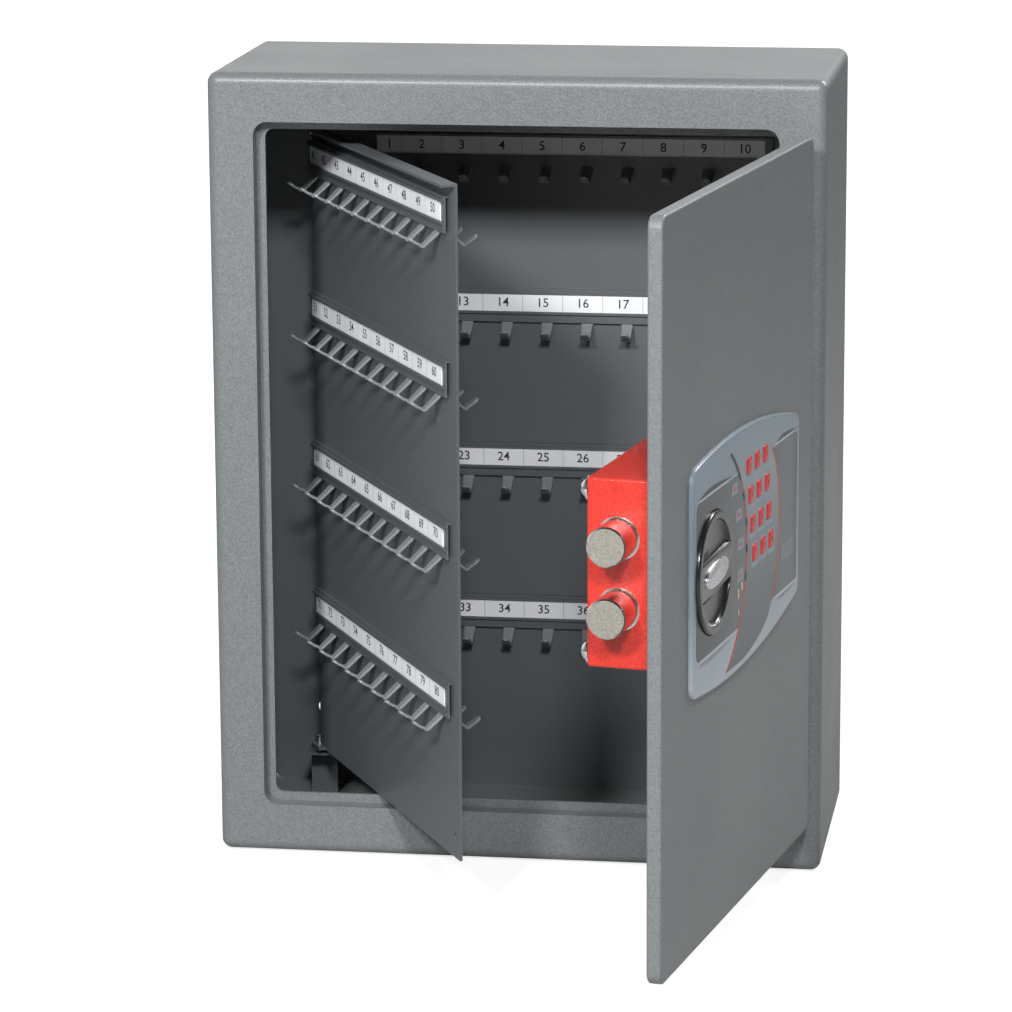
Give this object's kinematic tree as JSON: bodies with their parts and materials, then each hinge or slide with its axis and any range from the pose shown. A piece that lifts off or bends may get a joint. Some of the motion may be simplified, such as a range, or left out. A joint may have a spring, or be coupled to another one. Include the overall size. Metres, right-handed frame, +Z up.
{
  "type": "key cabinet",
  "caption": "Wall key cabinet with a solid plate door, electronic dial lock with round bolts, and an inner swing panel of numbered key hooks.",
  "frame": {"origin": "centre of the wall-bolt pattern, on the back face", "axes": "+X right and +Z up for someone facing the cabinet, +Y into the wall"},
  "size_m": [0.35, 0.4524, 0.455],
  "materials": {
    "grey_coat": "fine textured powder coat on steel",
    "inner_coat": "smooth satin powder coat on sheet steel",
    "label_card": "printed card behind clear film",
    "zinc_steel": "bright zinc plating",
    "turned_steel": "face-turned steel",
    "chrome": "polished chrome",
    "red_coat": "red hammered coat",
    "fascia_plastic": "moulded plastic with printed panels",
    "black_plastic": "satin black moulded plastic",
    "badge_silver": "brushed, plain oval",
    "solenoid_can": "black lacquered can",
    "board_green": "solder-masked board",
    "cell_sleeve": "shrink sleeve",
    "red_key": "moulded key cap"
  },
  "bodies": {
    "cabinet": {"body_shell": "grey_coat", "back_plate": "inner_coat", "rebate_frame": "grey_coat", "back_rail_1": "inner_coat", "back_rail_2": "inner_coat", "back_rail_3": "inner_coat", "back_rail_4": "inner_coat", "back_hooks": "inner_coat", "back_labels": "label_card", "panel_pins": "zinc_steel", "panel_brackets": "grey_coat", "hinge_pins": "zinc_steel", "hinge_brackets": "grey_coat"},
    "panel": {"panel_sheet": "inner_coat", "front_rail_1": "inner_coat", "front_rail_2": "inner_coat", "front_rail_3": "inner_coat", "front_rail_4": "inner_coat", "front_hooks": "inner_coat", "front_labels": "label_card", "rear_rail_1": "inner_coat", "rear_rail_2": "inner_coat", "rear_rail_3": "inner_coat", "rear_rail_4": "inner_coat", "rear_hooks": "inner_coat", "rear_labels": "label_card"},
    "door": {"door_plate": "grey_coat", "hinge_arms": "grey_coat", "lock_cover": "red_coat", "cover_studs": "zinc_steel", "cover_nuts": "chrome", "bolt_guide": "zinc_steel", "fascia": "fascia_plastic", "solenoid": "solenoid_can", "circuit_board": "board_green", "battery_tray": "black_plastic", "batteries": "cell_sleeve"},
    "dial": {"knob": "black_plastic", "knob_badge": "badge_silver", "knob_spindle": "zinc_steel", "drive_cam": "zinc_steel"},
    "bolts": {"bolt_bar": "zinc_steel", "lock_bolts": "turned_steel"},
    "block_pin": {"solenoid_pin": "zinc_steel"},
    "key_1": {"button_1": "red_key"},
    "key_2": {"button_2": "red_key"},
    "key_3": {"button_3": "red_key"},
    "key_4": {"button_4": "red_key"},
    "key_5": {"button_5": "red_key"},
    "key_6": {"button_6": "red_key"},
    "key_7": {"button_7": "red_key"},
    "key_8": {"button_8": "red_key"},
    "key_9": {"button_9": "red_key"},
    "key_10": {"button_10": "red_key"},
    "key_11": {"button_11": "red_key"},
    "key_12": {"button_12": "red_key"}
  },
  "joints": [
    {"name": "door_hinge", "type": "hinge", "parent": "cabinet", "child": "door", "pos_m": [0.1658, -0.1435, 0.0005], "axis": [0, 0, 1], "range_deg": [-80, 15]},
    {"name": "panel_swing", "type": "hinge", "parent": "cabinet", "child": "panel", "pos_m": [-0.1362, -0.042, 0], "axis": [0, 0, -1], "range_deg": [-61.5, 11.6]},
    {"name": "dial_turn", "type": "hinge", "parent": "door", "child": "dial", "pos_m": [0.13264, -0.36897, 0.0005], "axis": [0.9848, -0.1736, 0], "range_deg": [0, 60]},
    {"name": "bolt_throw", "type": "slide", "parent": "door", "child": "bolts", "axis": [-0.1736, -0.9848, 0], "range_m": [0, 0.016]},
    {"name": "block_pin_lift", "type": "slide", "parent": "door", "child": "block_pin", "axis": [0, 0, 1], "range_m": [0, 0.004], "stiffness_N_per_m": 60},
    {"name": "key_1_press", "type": "slide", "parent": "door", "child": "key_1", "axis": [-0.9848, 0.1736, 0], "range_m": [0, 0.0008], "stiffness_N_per_m": 800},
    {"name": "key_2_press", "type": "slide", "parent": "door", "child": "key_2", "axis": [-0.9848, 0.1736, 0], "range_m": [0, 0.0008], "stiffness_N_per_m": 800},
    {"name": "key_3_press", "type": "slide", "parent": "door", "child": "key_3", "axis": [-0.9848, 0.1736, 0], "range_m": [0, 0.0008], "stiffness_N_per_m": 800},
    {"name": "key_4_press", "type": "slide", "parent": "door", "child": "key_4", "axis": [-0.9848, 0.1736, 0], "range_m": [0, 0.0008], "stiffness_N_per_m": 800},
    {"name": "key_5_press", "type": "slide", "parent": "door", "child": "key_5", "axis": [-0.9848, 0.1736, 0], "range_m": [0, 0.0008], "stiffness_N_per_m": 800},
    {"name": "key_6_press", "type": "slide", "parent": "door", "child": "key_6", "axis": [-0.9848, 0.1736, 0], "range_m": [0, 0.0008], "stiffness_N_per_m": 800},
    {"name": "key_7_press", "type": "slide", "parent": "door", "child": "key_7", "axis": [-0.9848, 0.1736, 0], "range_m": [0, 0.0008], "stiffness_N_per_m": 800},
    {"name": "key_8_press", "type": "slide", "parent": "door", "child": "key_8", "axis": [-0.9848, 0.1736, 0], "range_m": [0, 0.0008], "stiffness_N_per_m": 800},
    {"name": "key_9_press", "type": "slide", "parent": "door", "child": "key_9", "axis": [-0.9848, 0.1736, 0], "range_m": [0, 0.0008], "stiffness_N_per_m": 800},
    {"name": "key_10_press", "type": "slide", "parent": "door", "child": "key_10", "axis": [-0.9848, 0.1736, 0], "range_m": [0, 0.0008], "stiffness_N_per_m": 800},
    {"name": "key_11_press", "type": "slide", "parent": "door", "child": "key_11", "axis": [-0.9848, 0.1736, 0], "range_m": [0, 0.0008], "stiffness_N_per_m": 800},
    {"name": "key_12_press", "type": "slide", "parent": "door", "child": "key_12", "axis": [-0.9848, 0.1736, 0], "range_m": [0, 0.0008], "stiffness_N_per_m": 800}
  ],
  "couplings": [
    {"joint": "panel_swing", "follows": "door_hinge", "ratio": 0.76875},
    {"joint": "dial_turn", "follows": "bolt_throw", "rad_per_m": 65.449}
  ]
}
